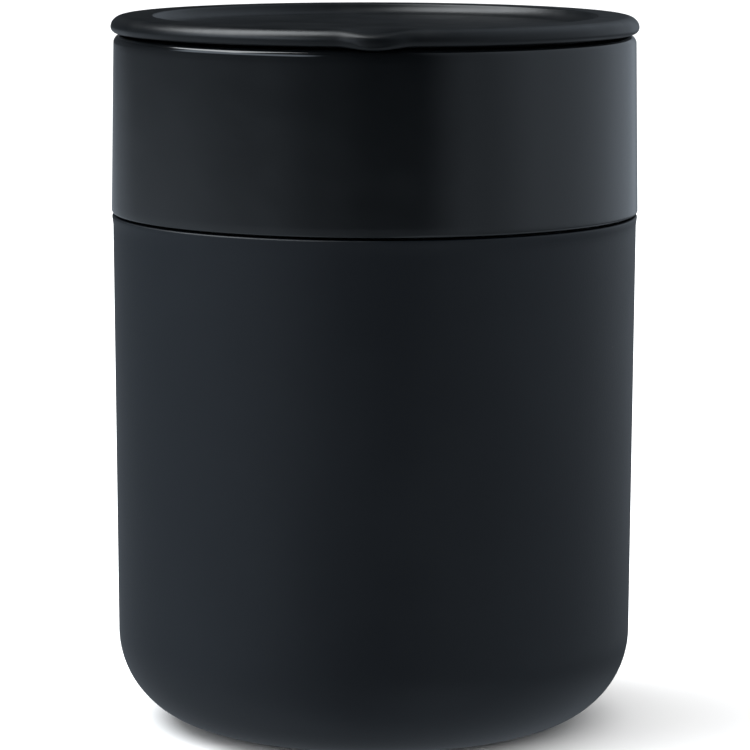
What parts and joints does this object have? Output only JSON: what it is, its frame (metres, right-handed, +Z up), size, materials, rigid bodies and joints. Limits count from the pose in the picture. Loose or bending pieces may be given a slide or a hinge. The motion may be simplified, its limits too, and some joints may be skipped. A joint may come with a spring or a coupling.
{
  "type": "lidded ceramic travel cup",
  "caption": "Straight-sided ceramic travel cup with a thick glazed collar, a silicone sleeve round the body and a push-in lid with a sip slot.",
  "frame": {"origin": "centre of the circle on which the sleeve's resting ring stands, on the cup's axis", "axes": "+Z up along the cup's axis, -Y towards the drinking side, where the lid has its lifting tab and its sip slot, +X to the right of someone facing that side"},
  "size_m": [0.0886, 0.0897, 0.1195],
  "materials": {
    "sleeve": "matte soft-touch silicone, blue-black, fine grain",
    "glaze": "glossy black glaze with a slight undulation",
    "lid": "satin moulded plastic, blue-black",
    "gasket": "satin silicone"
  },
  "bodies": {
    "sleeve": {"silicone_sleeve": "sleeve"},
    "cup": {"ceramic_cup": "glaze"},
    "gasket": {"lid_gasket": "gasket"},
    "lid": {"lid_shell": "lid"}
  },
  "joints": [
    {"name": "cup_lift", "type": "slide", "parent": "sleeve", "child": "cup", "axis": [0, 0, 1], "range_m": [0, 0.095]},
    {"name": "lid_lift", "type": "slide", "parent": "cup", "child": "gasket", "axis": [0, 0, 1], "range_m": [0, 0.03]},
    {"name": "lid_turn", "type": "hinge", "parent": "gasket", "child": "lid", "pos_m": [0, 0, 0.1167], "axis": [0, 0, 1], "continuous": true}
  ]
}
